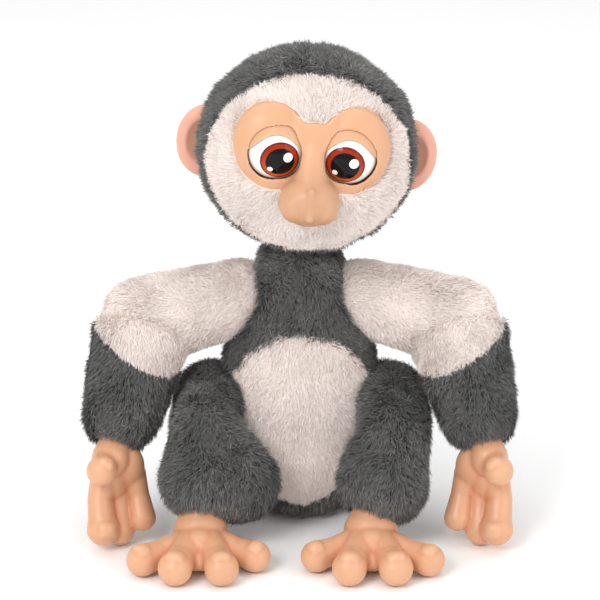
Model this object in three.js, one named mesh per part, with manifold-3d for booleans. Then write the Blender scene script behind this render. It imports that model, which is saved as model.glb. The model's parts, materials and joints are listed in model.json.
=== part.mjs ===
// A seated plush monkey with a vinyl face, hands and feet, eyelids that blink and a turning head.
// Millimetres, +Z up, the face looks along -Y, the origin is on the floor under the seat.
import * as THREE from "three";
import { mergeVertices } from "three/addons/utils/BufferGeometryUtils.js";
import Module from "manifold-3d";

const wasm = await Module();
wasm.setup();

// ---------------------------------------------------------------- driving dimensions
const GAP = 0.4; // between pieces that only touch
const RUN = 1.6; // between soft pieces that move past each other
const SLIVER = 0.06; // detail smaller than this is merged away
const SIDES = { right: -1, left: 1 }; // the toy's own right is on the -X side

// The torso is a turned pear, squeezed front to back. Each row is a height and a radius.
const TORSO = {
  outline: [
    [0, 20], [5, 33], [18, 39], [38, 41], [60, 41.5],
    [80, 40], [97, 36.5], [113, 31], [127, 25], [139, 20],
  ],
  squeeze: 0.94,
  neckHole: 12.8,
};
const BELLY = { rx: 35, rz: 43, z: 57, thick: 5 };
const CHASSIS = { plush: 9, wall: 2, bottom: 34, top: 103, half: 22, shoulder: 95, neckHalf: 12, flange: 7 };
const BATTERY = { radius: 5.25, length: 44.5, count: 3, z: 42 };
const BAY = { wall: 1.6, depth: 2 * BATTERY.radius + 2, mouth: 17, ledge: 1.5 };
const DOOR = { thick: 2.2, lip: 2, tab: 8, screw: 1.2 };
const FLAP = { width: 50, height: 68, z: 70, thick: 4 };
const ACCESS = { half: 20.4, bottom: 38.6, top: 101.4 }; // the way in to the battery door and the switch
const SWITCH = { above: 3.2, slotHalf: 4.4, inset: 3.9 };
const FAR = 200; // beyond the toy on every side

// The neck frame stands on the torso, leaning a little to the toy's left. Its origin is on the nod axis.
const NECK = { at: [0, -2, 150], lean: 5, turn: 2.5, post: 6, flange: 9.5, pin: 2, reach: 26, seat: 20 };
const HEAD = { rx: 53, ry: 47.5, rz: 50, up: 43, back: -1, plush: 8 };
const FACE = { rx: 47.5, rz: 42.5, z: -4 };
const SKULL = { wall: 2, split: 2 };
const MASK = {
  rx: 54, ry: 45.5, rz: 48, wall: 2.4,
  lobe: 21, lobeX: 17.3, lobeZ: 7.5,
  noseRx: 15, noseRz: 12.5, noseZ: -14.5,
};
const SNOUT = { rx: 15, ry: 13, rz: 12, y: -49, z: -15 };
const EYE = {
  x: 17.3, y: -32, z: 5.5, ball: 14.2, cutBack: 8,
  iris: 9.5, irisDepth: 1.5, gazeIn: 7, gazeDown: 13,
};
const LID = { gap: 0.7, thick: 1, from: 35, to: 135, axle: 1.2, boss: 3 };
const GEAR = { module: 1, teeth: 16, pinion: 8, thick: 1.4 };
const EAR = { x: 50, y: 2, z: 3, rx: 14.5, ry: 5, rz: 18 };

// Limb joints on the toy's left side; the right side mirrors X.
const ARM = {
  shoulder: [38, 0, 112], elbow: [78, -10, 102], wrist: [95, -48, 52],
  root: 18.5, upper: 23, fore: 23, cuff: 19,
};
// The hollow that the upper arm's ball turns in, and where the sleeve is full.
const ELBOW_CUP = { radius: 25.5, start: 20 };
const HAND = { stem: 8, ring: 11, ringThick: 3 };
const LEG = { hip: [45, -8, 60], hipRadius: 20, kneeRadius: 18, cuffRadius: 21, lobeRadius: 19.5 };
const KNEE = { right: [-47, -47, 57], left: [48, -47, 57] };
const ANKLE = { right: [-49, -68, 25], left: [35, -68, 25] };
// Each trouser leg is widened by a second lobe from beside the knee to beside the ankle.
const LOBE = { right: [[-45, -46, 50], [-29, -60, 27]], left: [[47, -46, 50], [41, -63, 27]] };
const FOOT = { stem: 9, ring: 12, ringThick: 3 };
const HIP_SWING = [-14, 8]; // the travel that the torso is hollowed for

// ---------------------------------------------------------------- materials
const plastic = (color, roughness) => new THREE.MeshStandardMaterial({ color, roughness, metalness: 0 });
const materials = {
  greyPlush: plastic(0x50504e, 0.95),
  whitePlush: plastic(0xe8dcd6, 0.95),
  vinyl: plastic(0xf0b48c, 0.45),
  eyeWhite: plastic(0xf4f1ec, 0.15),
  iris: plastic(0xa33d1c, 0.1),
  shell: plastic(0xd9d9d4, 0.5),
  dark: plastic(0x2b2b2d, 0.5),
  board: plastic(0x2d6b46, 0.6),
  steel: new THREE.MeshStandardMaterial({ color: 0xb9bcc0, roughness: 0.35, metalness: 1 }),
};

// ---------------------------------------------------------------- shapes
const radians = THREE.MathUtils.degToRad;
const vector = (p) => new THREE.Vector3(...p);
const mirrored = (p, side) => [p[0] * side, p[1], p[2]];

const unit = (a, b) => vector(b).sub(vector(a)).normalize();
const stepFrom = (point, line, distance) => vector(point).addScaledVector(line, distance).toArray();

function solid(geometry) {
  const bare = geometry.clone();
  bare.deleteAttribute("normal");
  bare.deleteAttribute("uv");
  const merged = mergeVertices(bare, 1e-4);
  return new wasm.Manifold(new wasm.Mesh({
    numProp: 3,
    vertProperties: merged.attributes.position.array,
    triVerts: new Uint32Array(merged.index.array),
  }));
}
const cut = (from, ...tools) => tools.reduce((left, tool) => left.subtract(tool), from);
const join = (first, ...more) => more.reduce((sum, piece) => sum.add(piece), first);
const common = (first, ...more) => more.reduce((shared, piece) => shared.intersect(piece), first);

function ellipsoid([x, y, z], [rx, ry, rz], around = 16, rings = 10) {
  const ball = new THREE.SphereGeometry(1, around, rings).rotateX(Math.PI / 2);
  return solid(ball.scale(rx, ry, rz).translate(x, y, z));
}
const ball = (centre, radius, around = 14, rings = 8) =>
  ellipsoid(centre, [radius, radius, radius], around, rings);

function box([x0, y0, z0], [x1, y1, z1]) {
  const made = new THREE.BoxGeometry(x1 - x0, y1 - y0, z1 - z0);
  return solid(made.translate((x0 + x1) / 2, (y0 + y1) / 2, (z0 + z1) / 2));
}

// A turned solid along the line from a to b: each profile row is [distance from a, radius].
function turned(a, b, profile, around = 12) {
  const rows = [[profile[0][0], 0], ...profile, [profile.at(-1)[0], 0]];
  const outline = rows.map(([along, radius]) => new THREE.Vector2(radius, along));
  const lathe = new THREE.LatheGeometry(outline, around);
  const line = vector(b).sub(vector(a)).normalize();
  const turn = new THREE.Quaternion().setFromUnitVectors(new THREE.Vector3(0, 1, 0), line);
  return solid(lathe.applyQuaternion(turn).translate(...a));
}
const rod = (a, b, radius, around = 12) => {
  const length = vector(a).distanceTo(vector(b));
  return turned(a, b, [[0, radius], [length, radius]], around);
};

// A tube with round ends whose radius goes from ra at a to rb at b.
function limb(a, b, ra, rb, around = 12) {
  const length = vector(a).distanceTo(vector(b));
  const arc = (centre, radius, from, to) => [0, 1, 2].map((step) => {
    const angle = radians(from + ((to - from) * step) / 2);
    return [centre - radius * Math.cos(angle), radius * Math.sin(angle)];
  });
  return turned(a, b, [...arc(0, ra, 34, 90), ...arc(length, rb, 90, 146)], around);
}

function spun(shape, degrees, axis, centre) {
  const turn = new THREE.Matrix4().makeRotationAxis(vector(axis).normalize(), radians(degrees));
  const there = new THREE.Matrix4().makeTranslation(...centre);
  const back = new THREE.Matrix4().makeTranslation(...centre.map((value) => -value));
  return shape.transform(there.multiply(turn).multiply(back).toArray());
}

// The largest of the pieces a cut leaves, without the slivers beside it.
const bigger = (best, piece) => (piece.volume() > best.volume() ? piece : best);
const biggest = (shape) => shape.decompose().reduce(bigger);

function geometryOf(shape) {
  const { vertProperties, triVerts } = shape.simplify(SLIVER).getMesh();
  const geometry = new THREE.BufferGeometry();
  geometry.setAttribute("position", new THREE.BufferAttribute(vertProperties, 3));
  geometry.setIndex(new THREE.BufferAttribute(triVerts, 1));
  geometry.computeVertexNormals();
  return geometry;
}

const toy = new THREE.Group();
const neck = new THREE.Group();
neck.position.set(...NECK.at);
neck.rotation.set(0, radians(NECK.lean), radians(NECK.turn));
toy.add(neck);

function place(name, shape, material, group = toy) {
  const mesh = new THREE.Mesh(geometryOf(shape), materials[material]);
  mesh.name = name;
  group.add(mesh);
}

// ---------------------------------------------------------------- torso
// The pear grown by a margin, between two heights.
function pear(grow, bottom, top) {
  const [low, high] = [TORSO.outline[0][0], TORSO.outline.at(-1)[0]];
  const curve = new THREE.CatmullRomCurve3(TORSO.outline.map(([z, r]) => new THREE.Vector3(r, z, 0)));
  const rows = curve.getPoints(9).map((p) => new THREE.Vector2(Math.max(p.x + grow, 0.5), p.y));
  rows.unshift(new THREE.Vector2(0, low));
  rows.push(new THREE.Vector2(0, high));
  const body = new THREE.LatheGeometry(rows, 16).rotateX(Math.PI / 2).scale(1, TORSO.squeeze, 1);
  return common(solid(body), box([-FAR, -FAR, bottom ?? low], [FAR, FAR, top ?? high]));
}

// The pear's radius at a height, less the plush: the size of the chassis there.
function chassisRadius(height) {
  const above = TORSO.outline.findIndex(([z]) => z >= height);
  const [[z0, r0], [z1, r1]] = TORSO.outline.slice(above - 1, above + 1);
  return r0 + ((r1 - r0) * (height - z0)) / (z1 - z0) - CHASSIS.plush;
}

function limbHollows() {
  const hollows = [];
  for (const name of Object.keys(SIDES)) {
    const [hip, knee] = [mirrored(LEG.hip, SIDES[name]), KNEE[name]];
    const thigh = limb(hip, knee, LEG.hipRadius + RUN, LEG.kneeRadius + RUN);
    const steps = 2;
    for (let step = 0; step <= steps; step += 1) {
      const angle = HIP_SWING[0] + ((HIP_SWING[1] - HIP_SWING[0]) * step) / steps;
      hollows.push(spun(thigh, angle, [1, 0, 0], hip));
    }
    const [shoulder, elbow] = [ARM.shoulder, ARM.elbow].map((p) => mirrored(p, SIDES[name]));
    hollows.push(limb(shoulder, elbow, ARM.root + RUN, ARM.upper + RUN));
    hollows.push(ball(shoulder, ARM.root + RUN));
  }
  return hollows;
}

// The chassis is the pear's core with flat sides that leave room for the hips.
const core = (grow) => common(
  pear(-CHASSIS.plush + grow, CHASSIS.bottom - grow, CHASSIS.top + grow),
  join(
    box([-CHASSIS.half - grow, -FAR, 0], [CHASSIS.half + grow, FAR, CHASSIS.shoulder + grow]),
    box([-CHASSIS.neckHalf - grow, -FAR, 0], [CHASSIS.neckHalf + grow, FAR, FAR]),
  ),
);
const chassisOuter = core(0);
const chassisSpace = core(GAP);
const bayHalfWidth = BATTERY.count * BATTERY.radius + (BATTERY.count + 1) * GAP;
const bayMouth = BAY.mouth;
const bayTop = BATTERY.z + BATTERY.length + 2 * GAP;
const bay = [[-bayHalfWidth, bayMouth - BAY.depth, BATTERY.z - GAP], [bayHalfWidth, 80, bayTop]];
const grown = ([a, b], by) => [a.map((value) => value - by), b.map((value) => value + by)];
const doorSpace = box(
  [-bayHalfWidth - DOOR.lip, bayMouth, BATTERY.z - GAP - DOOR.lip],
  [bayHalfWidth + DOOR.lip, 80, bayTop + DOOR.tab],
);
const doorScrewZ = bayTop + DOOR.tab - 4;
const switchZ = DOOR.tab + bayTop + SWITCH.above;
const switchWall = chassisRadius(switchZ) * TORSO.squeeze - SWITCH.inset; // the chassis back at the switch
const flapSpace = (grow) => {
  const [half, tall] = [FLAP.width / 2 + grow, FLAP.height / 2 + grow];
  return box([-half, 0, FLAP.z - tall], [half, 80, FLAP.z + tall]);
};
const beltFront = ellipsoid([0, -60, BELLY.z], [BELLY.rx, 60, BELLY.rz]);
const neckAxis = new THREE.Vector3(Math.sin(radians(NECK.lean)), 0, Math.cos(radians(NECK.lean)));
const neckFoot = NECK.reach + NECK.seat + GAP;
const [neckFrom, neckTo] = [-neckFoot, 50].map((step) => stepFrom(NECK.at, neckAxis, step));
const neckRoom = rod(neckFrom, neckTo, TORSO.neckHole, 16);

function buildTorso() {
  const hollows = limbHollows();
  const outer = pear(0);
  const underPanels = pear(-BELLY.thick);
  const underFlap = pear(-FLAP.thick);
  const bellyRoom = cut(ellipsoid([0, -60, BELLY.z], [BELLY.rx + GAP, 60, BELLY.rz + GAP]), underPanels);
  const access = box([-ACCESS.half, 0, ACCESS.bottom], [ACCESS.half, 80, ACCESS.top]);
  const rooms = [chassisSpace, bellyRoom, flapSpace(GAP), access, neckRoom];
  place("torso_plush", cut(outer, ...hollows, ...rooms), "greyPlush");
  place("belly_panel", cut(common(outer, beltFront), pear(-BELLY.thick + GAP), ...hollows), "whitePlush");
  const flap = common(outer, flapSpace(0));
  place("back_flap", cut(flap, pear(-FLAP.thick + GAP), ...hollows), "greyPlush");

  const wires = rod([0, NECK.at[1], 60], [0, NECK.at[1], 200], CHASSIS.flange, 12);
  const shell = cut(chassisOuter, core(-CHASSIS.wall), wires);
  const front = box([-100, -100, 0], [100, -GAP / 2, 200]);
  const rear = box([-100, GAP / 2, 0], [100, 100, 200]);
  const screwPost = rod([0, bayMouth - 8, doorScrewZ], [0, bayMouth, doorScrewZ], 4, 12);
  const screwBore = rod([0, bayMouth - 7, doorScrewZ], [0, 80, doorScrewZ], DOOR.screw + GAP, 12);
  const ledgeHalf = bayHalfWidth + DOOR.lip;
  const ledge = box([-ledgeHalf, bayMouth - BAY.ledge, BATTERY.z], [ledgeHalf, bayMouth, bayTop + DOOR.tab]);
  const bayWalls = common(join(box(...grown(bay, BAY.wall)), ledge, screwPost), chassisOuter, rear);
  const switchSlot = box([-3, 0, switchZ - SWITCH.slotHalf], [3, FAR, switchZ + SWITCH.slotHalf]);
  place("chassis_front", cut(common(shell, front), ...speakerHoles()), "shell");
  const rearShell = join(common(shell, rear), bayWalls);
  place("chassis_rear", cut(rearShell, box(...bay), doorSpace, screwBore, switchSlot), "shell");
}

// ---------------------------------------------------------------- what the chassis holds
const speaker = { radius: 14, depth: 6, z: 72, inset: 5.3 };
speaker.face = -(chassisRadius(speaker.z) - CHASSIS.wall) * TORSO.squeeze + speaker.inset;

function speakerHoles() {
  const holes = [];
  for (const [x, z] of [[0, 0], [7, 0], [-7, 0], [0, 7], [0, -7]]) {
    holes.push(rod([x, -60, speaker.z + z], [x, -15, speaker.z + z], 2, 8));
  }
  return holes;
}

function buildElectronics() {
  const half = bayHalfWidth + DOOR.lip - GAP;
  const outside = bayMouth + GAP + DOOR.thick;
  const door = box([-half, bayMouth + GAP, BATTERY.z - DOOR.lip], [half, outside, bayTop + DOOR.tab - GAP]);
  const screwAt = (y) => [0, y, doorScrewZ];
  const [inner, face, cap] = [bayMouth - 6, outside + GAP, outside + GAP + 1.6].map(screwAt);
  const doorBore = rod([0, 0, doorScrewZ], [0, 80, doorScrewZ], DOOR.screw + GAP, 12);
  place("battery_door", cut(door, doorBore), "shell");
  place("door_screw", join(rod(inner, cap, DOOR.screw, 10), rod(face, cap, 2.6, 10)), "steel");
  for (let index = 0; index < BATTERY.count; index += 1) {
    const pitch = 2 * BATTERY.radius + GAP;
    const x = (index - (BATTERY.count - 1) / 2) * pitch;
    const y = bayMouth - BAY.depth / 2;
    const [foot, top] = [BATTERY.z, BATTERY.z + BATTERY.length];
    const can = rod([x, y, foot], [x, y, top - 1], BATTERY.radius, 16);
    place(`battery_${index + 1}`, join(can, rod([x, y, top - 2], [x, y, top], 1.9, 10)), "dark");
  }
  const y = bayMouth - BAY.depth - BAY.wall - 2;
  place("circuit_board", box([-17, y - 1.6, 50], [17, y, 90]), "board");
  const cone = [[0, speaker.radius], [2, speaker.radius], [speaker.depth, 7], [speaker.depth + 4, 7]];
  place("speaker", turned([0, speaker.face, speaker.z], [0, 0, speaker.z], cone), "dark");
  const knobY = switchWall - CHASSIS.wall - GAP;
  const slider = box([-6, knobY - 2, switchZ - 2.5], [6, knobY, switchZ + 2.5]);
  const knob = box([-1.6, knobY - 1, switchZ - 1.6], [1.6, knobY + 3.2, switchZ + 1.6]);
  place("power_switch", join(slider, knob), "dark");
}

// ---------------------------------------------------------------- neck, in the neck frame
const headAt = [0, HEAD.back, HEAD.up];
const headSolid = (grow, around = 18, rings = 10) =>
  ellipsoid(headAt, [HEAD.rx + grow, HEAD.ry + grow, HEAD.rz + grow], around, rings);
const skullOuter = headSolid(-HEAD.plush - GAP);
const skullInner = headSolid(-HEAD.plush - GAP - SKULL.wall);
const neckWay = (grow) => turned([0, 0, -40], [0, 0, 0], [[0, 19 + grow], [54, 14 + grow]], 20);

function buildNeck() {
  const { post, flange, pin, reach, seat: seatDepth } = NECK;
  const outline = [[0, flange], [3.5, flange], [3.6, post], [reach - 5, post]];
  const table = turned([0, 0, -reach], [0, 0, 0], outline, 16);
  const yoke = box([-5, -5.5, -8], [5, 5.5, 4.5]);
  place("neck_turntable", cut(join(table, yoke), rod([-9, 0, 0], [9, 0, 0], pin + GAP)), "shell", neck);
  place("nod_pin", rod([-12, 0, 0], [12, 0, 0], pin), "steel", neck);
  const wallIn = flange + GAP;
  const cup = turned([0, 0, -reach - seatDepth], [0, 0, 0], [[0, flange - 2], [seatDepth - 4, flange - 2],
    [seatDepth - 3, wallIn + 2], [seatDepth + 4, wallIn + 2]], 16);
  const well = rod([0, 0, -reach - GAP], [0, 0, 0], wallIn, 16);
  place("neck_socket", cut(cup, well, rod([0, 0, -90], [0, 0, 0], 4, 12)), "shell", neck);
  const collar = turned([0, 0, -reach], [0, 0, 0], [[4 + GAP, wallIn + 2], [7, wallIn + 2]], 16);
  place("neck_collar", cut(collar, rod([0, 0, -60], [0, 0, 0], post + GAP, 16)), "shell", neck);

  const plate = common(box([-40, -16, 9], [40, 16, 11.5]), headSolid(-HEAD.plush - 2 * GAP - SKULL.wall));
  const arm = (side) => box([side * 8.4 - 2, -4.5, -4.5], [side * 8.4 + 2, 4.5, 10]);
  const bracket = join(plate, arm(-1), arm(1));
  place("nod_bracket", cut(bracket, rod([-20, 0, 0], [20, 0, 0], pin + GAP)), "shell", neck);
}

// ---------------------------------------------------------------- head, in the neck frame
const inHead = ([x, y, z]) => [x, y + HEAD.back, z + HEAD.up];
const eyeAt = (side) => inHead([EYE.x * side, EYE.y, EYE.z]);
const lidInner = EYE.ball + LID.gap;
const lidOuter = lidInner + LID.thick;
const eyeRoom = (side) => ball(eyeAt(side), lidOuter + LID.gap, 14, 8);
const along = (x, z, rx, rz) => {
  const [cx, , cz] = inHead([x, 0, z]);
  const prism = new THREE.CylinderGeometry(1, 1, 120, 14).scale(rx, 1, rz);
  return solid(prism.translate(cx, -60, cz));
};
const maskOutline = (grow) => join(
  along(-MASK.lobeX, MASK.lobeZ, MASK.lobe + grow, MASK.lobe + grow),
  along(MASK.lobeX, MASK.lobeZ, MASK.lobe + grow, MASK.lobe + grow),
  along(0, MASK.noseZ, MASK.noseRx + grow, MASK.noseRz + grow),
);
const snout = (grow) => join(
  ellipsoid(inHead([0, SNOUT.y, SNOUT.z]), [SNOUT.rx + grow, SNOUT.ry + grow, SNOUT.rz + grow], 10, 6),
  limb(inHead([0, -40, 6]), inHead([0, -48, -9]), 6.5 + grow, 9 + grow, 8),
);

function buildHeadCovers() {
  const shell = cut(headSolid(0), headSolid(-HEAD.plush), neckWay(0));
  const frontHalf = box([-100, -100, -100], [100, HEAD.back - GAP, 200]);
  const faceRoom = common(along(0, FACE.z, FACE.rx, FACE.rz), frontHalf);
  const faceCut = common(along(0, FACE.z, FACE.rx + GAP, FACE.rz + GAP), frontHalf);
  const maskRoom = join(maskOutline(GAP), snout(GAP));
  place("head_plush", cut(shell, faceCut), "greyPlush", neck);
  place("face_ruff", cut(common(shell, faceRoom), maskRoom), "whitePlush", neck);

  const front = box([-100, -100, -100], [100, HEAD.back - 12, 200]);
  const maskBody = (shrink) =>
    ellipsoid(headAt, [MASK.rx - shrink, MASK.ry - shrink, MASK.rz - shrink], 18, 10);
  const outside = join(common(maskOutline(0), maskBody(0), front), snout(0));
  const inside = join(common(maskOutline(-MASK.wall), maskBody(MASK.wall)), snout(-MASK.wall));
  const mask = cut(outside, inside, headSolid(-HEAD.plush), eyeRoom(-1), eyeRoom(1));
  place("face_mask", biggest(mask), "vinyl", neck);
  for (const [name, side] of Object.entries(SIDES)) {
    const ear = ellipsoid(inHead([EAR.x * side, EAR.y, EAR.z]), [EAR.rx, EAR.ry, EAR.rz], 16, 12);
    const bowl = ellipsoid(inHead([EAR.x * side, EAR.y - 6, EAR.z]), [EAR.rx - 3.5, 6, EAR.rz - 4], 12, 8);
    place(`ear_${name}`, cut(ear, bowl, headSolid(GAP)), "vinyl", neck);
  }
}

const boss = { x: HEAD.rx - 19, z: -12, radius: 4.5, front: -24, rear: 12, bore: 1.4 };
function buildSkull() {
  const gearRoom = rod(inHead([-2, EYE.y, EYE.z]), inHead([2, EYE.y, EYE.z]), 11, 12);
  const shell = cut(skullOuter, skullInner, neckWay(0), eyeRoom(-1), eyeRoom(1), gearRoom, snoutRoom());
  const [y0, y1] = [HEAD.back + SKULL.split - GAP / 2, HEAD.back + SKULL.split + GAP / 2];
  const front = box([-100, -100, -100], [100, y0, 200]);
  const rear = box([-100, y1, -100], [100, 100, 200]);
  const bossRod = (side, from, to, radius) =>
    rod(inHead([boss.x * side, from, boss.z]), inHead([boss.x * side, to, boss.z]), radius, 12);
  const bosses = Object.values(SIDES).map((side) => bossRod(side, boss.front, boss.rear, boss.radius));
  const bores = Object.values(SIDES).map((side) => join(
    bossRod(side, -6.5, 20, boss.bore + GAP),
    bossRod(side, boss.rear - 0.1, 50, 3 + GAP),
  ));
  const walls = common(join(shell, ...bosses), skullOuter);
  place("skull_front", cut(common(walls, front), ...bores, eyeRoom(-1), eyeRoom(1)), "shell", neck);
  place("skull_rear", cut(common(walls, rear), ...bores), "shell", neck);
  for (const [name, side] of Object.entries(SIDES)) {
    const shank = bossRod(side, -5.5, boss.rear + 1, boss.bore);
    const head = bossRod(side, boss.rear + 0.3, boss.rear + 2.3, 2.8);
    place(`skull_screw_${name}`, join(shank, head), "steel", neck);
  }
}
const snoutRoom = () => rod(inHead([0, -60, SNOUT.z]), inHead([0, -20, SNOUT.z]), 9, 14);

function gazeLine(side) {
  const [x, y, z] = eyeAt(side);
  const inward = -side * Math.sin(radians(EYE.gazeIn));
  const down = -Math.sin(radians(EYE.gazeDown));
  const forward = -Math.sqrt(1 - inward * inward - down * down);
  return [[x, y, z], [x + inward * 30, y + forward * 30, z + down * 30]];
}

function buildEyes() {
  const [, eyeY, eyeZ] = eyeAt(1);
  const reach = EYE.x + lidOuter - 0.4;
  const axle = (grow, length = reach) =>
    rod([-length, eyeY, eyeZ], [length, eyeY, eyeZ], LID.axle + grow, 12);
  place("lid_axle", axle(0), "steel", neck);
  const postDepth = 3;
  const post = (side, grow) => {
    const [x] = eyeAt(side);
    return rod([x, eyeY + EYE.cutBack - postDepth - grow, eyeZ], [x, eyeY + 30, eyeZ], 3 + grow, 12);
  };
  for (const [name, side] of Object.entries(SIDES)) {
    const centre = eyeAt(side);
    const [from, to] = gazeLine(side);
    const lens = (grow) => cut(
      common(rod(from, to, EYE.iris + grow, 14), ball(centre, EYE.ball - GAP / 4 + grow, 14, 8)),
      ball(centre, EYE.ball - EYE.irisDepth - grow, 12, 8),
    );
    const behind = box([-90, eyeY + EYE.cutBack, -90], [90, 90, 190]);
    const hollows = [lens(GAP / 2), behind, axle(GAP), post(side, GAP)];
    place(`eyeball_${name}`, cut(ball(centre, EYE.ball, 14, 8), ...hollows), "eyeWhite", neck);
    place(`iris_${name}`, lens(0), "iris", neck);

    // The lid is the part of a thin ball between two half planes through the axle.
    const shell = cut(ball(centre, lidOuter, 14, 8), ball(centre, lidInner, 14, 8));
    const wide = 40;
    const shape = new THREE.Shape([new THREE.Vector2(0, 0)]);
    for (let step = 0; step <= 4; step += 1) {
      const angle = radians(LID.from + ((LID.to - LID.from) * step) / 4);
      shape.lineTo(-wide * Math.cos(angle), wide * Math.sin(angle));
    }
    const wedge = new THREE.ExtrudeGeometry(shape, { depth: wide, bevelEnabled: false });
    // The shape's own axes are Y and Z of the head, and it is pushed along X.
    const turn = new THREE.Matrix4().makeBasis(vector([0, 1, 0]), vector([0, 0, 1]), vector([1, 0, 0]));
    wedge.applyMatrix4(turn);
    const sector = solid(wedge.translate(centre[0] - wide / 2, eyeY, eyeZ));
    const hub = (end) => {
      const x = centre[0] + end * lidInner;
      return rod([x, eyeY, eyeZ], [x + end * LID.thick, eyeY, eyeZ], LID.boss, 12);
    };
    const middle = box([-GEAR.thick / 2 - GAP, -90, -90], [GEAR.thick / 2 + GAP, 90, 190]);
    const ends = common(join(hub(-1), hub(1)), ball(centre, lidOuter, 14, 8));
    const lid = join(common(shell, sector), cut(ends, ball(centre, lidInner, 14, 8)));
    place(`lid_${name}`, cut(lid, axle(GAP), middle), "vinyl", neck);
  }

  const pitch = (teeth) => (GEAR.module * teeth) / 2;
  const pinionY = eyeY + pitch(GEAR.teeth) + pitch(GEAR.pinion);
  const wheel = (teeth, y, phase) => spun(gear(teeth, [0, y, eyeZ]), phase, [1, 0, 0], [0, y, eyeZ]);
  place("lid_gear", cut(wheel(GEAR.teeth, eyeY, 0), axle(GAP)), "dark", neck);
  const shaft = rod([-3.6, pinionY, eyeZ], [3.6, pinionY, eyeZ], 1, 12);
  place("blink_pinion", join(wheel(GEAR.pinion, pinionY, 180 / GEAR.pinion), shaft), "dark", neck);

  const barY = eyeY + EYE.cutBack + 8.5;
  const barRoom = headSolid(-HEAD.plush - 2 * GAP - SKULL.wall);
  const bar = common(box([-60, barY, eyeZ - 5], [60, barY + 3, eyeZ + 5]), barRoom);
  const barHole = box([-4.2, barY - 30, eyeZ - 3], [4.2, barY + 30, eyeZ + 3]);
  const stub = (side) => common(post(side, 0), box([-90, -90, -90], [90, barY + 1, 190]));
  place("eye_bridge", join(cut(bar, barHole), stub(-1), stub(1)), "shell", neck);
  const prong = (side) =>
    box([side * 2.5 - 1, pinionY - 2.4, eyeZ - 2.4], [side * 2.5 + 1, barY + 4, eyeZ + 2.4]);
  const motor = join(box([-10, barY + 3.5, eyeZ - 8], [10, barY + 19, eyeZ + 8]), prong(-1), prong(1));
  place("blink_gearbox", cut(motor, rod([-9, pinionY, eyeZ], [9, pinionY, eyeZ], 1 + GAP, 12)), "dark", neck);
}

// A toothed wheel that turns about the X direction, with one tooth pointing along +Y.
function gear(teeth, [x, y, z]) {
  const { module, thick } = GEAR;
  const radius = (module * teeth) / 2;
  const pitch = (2 * Math.PI) / teeth;
  const shape = new THREE.Shape();
  const corners = [[-0.3, radius - module], [-0.19, radius], [-0.1, radius + 0.7 * module]];
  for (let tooth = 0; tooth < teeth; tooth += 1) {
    for (const [share, r] of [...corners, ...corners.map(([s, r]) => [-s, r]).reverse()]) {
      const angle = (tooth + share) * pitch;
      const point = [r * Math.cos(angle), r * Math.sin(angle)];
      if (tooth === 0 && share === corners[0][0]) shape.moveTo(...point);
      else shape.lineTo(...point);
    }
  }
  const made = new THREE.ExtrudeGeometry(shape, { depth: thick, bevelEnabled: false });
  made.applyMatrix4(new THREE.Matrix4().makeBasis(vector([0, 1, 0]), vector([0, 0, 1]), vector([1, 0, 0])));
  return solid(made.translate(x - thick / 2, y, z));
}

// ---------------------------------------------------------------- limbs
// A socket at the end of a stuffed limb: a round hole for the stem, wider inside for the ring on it.
function socket(end, line, { stem, ring, ringThick }, grow) {
  const [mouth, deep] = [stepFrom(end, line, 30), stepFrom(end, line, -10 - grow)];
  const [ringFrom, ringTo] = [stepFrom(end, line, -7 - grow), stepFrom(end, line, -7 + ringThick + grow)];
  return join(rod(mouth, deep, stem + grow, 14), rod(ringFrom, ringTo, ring + grow, 14));
}
const ringOn = (end, line, { stem, ring, ringThick }) => cut(
  rod(stepFrom(end, line, -7), stepFrom(end, line, -7 + ringThick), ring, 14),
  rod(stepFrom(end, line, -20), stepFrom(end, line, 20), stem - 1.5 + GAP, 14),
);
const stemOf = (end, line, { stem }, length) => join(
  rod(stepFrom(end, line, -6 - GAP), stepFrom(end, line, length), stem - 1.5, 14),
  rod(stepFrom(end, line, -10 + GAP), stepFrom(end, line, -7 - GAP), stem - 0.2, 14),
  rod(stepFrom(end, line, -7.6 - GAP), stepFrom(end, line, -5), stem - 1.5, 14),
);

function buildArm(name, side) {
  const [shoulder, elbow, wrist] = [ARM.shoulder, ARM.elbow, ARM.wrist].map((p) => mirrored(p, side));
  const out = vector([side, 0, 0]);
  const disc = (grow) => join(
    rod(stepFrom(shoulder, out, -2 - grow), stepFrom(shoulder, out, 1 + grow), 9 + grow, 14),
    rod(stepFrom(shoulder, out, -30), shoulder, 2.5 + grow, 12),
  );
  const upper = cut(limb(shoulder, elbow, ARM.root, ARM.upper, 14), disc(GAP));
  place(`upper_arm_plush_${name}`, upper, "whitePlush");
  place(`shoulder_disc_${name}`, common(disc(0), ball(shoulder, ARM.root - GAP)), "shell");
  const line = unit(elbow, wrist);
  const cuff = stepFrom(wrist, line, -2);
  const [foreFrom, foreTo] = [stepFrom(elbow, line, ELBOW_CUP.start), stepFrom(wrist, line, -ARM.cuff)];
  const fore = limb(foreFrom, foreTo, ARM.fore, ARM.cuff + 1, 14);
  const length = vector(elbow).distanceTo(vector(wrist));
  const profile = [[ELBOW_CUP.start, ARM.fore], [length - 9, ARM.cuff + 1], [length, ARM.cuff]];
  const sleeve = turned(elbow, wrist, profile, 14);
  const hollow = ball(elbow, ELBOW_CUP.radius);
  const far = rod(stepFrom(wrist, line, -1), stepFrom(wrist, line, 60), 60, 12);
  const forearm = cut(join(fore, sleeve), far, hollow, socket(cuff, line, HAND, GAP));
  place(`forearm_plush_${name}`, biggest(forearm), "greyPlush");
  place(`wrist_ring_${name}`, ringOn(cuff, line, HAND), "dark");
  place(`hand_${name}`, handShape(wrist, side, stemOf(cuff, line, HAND, 6)), "vinyl");
}

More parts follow.
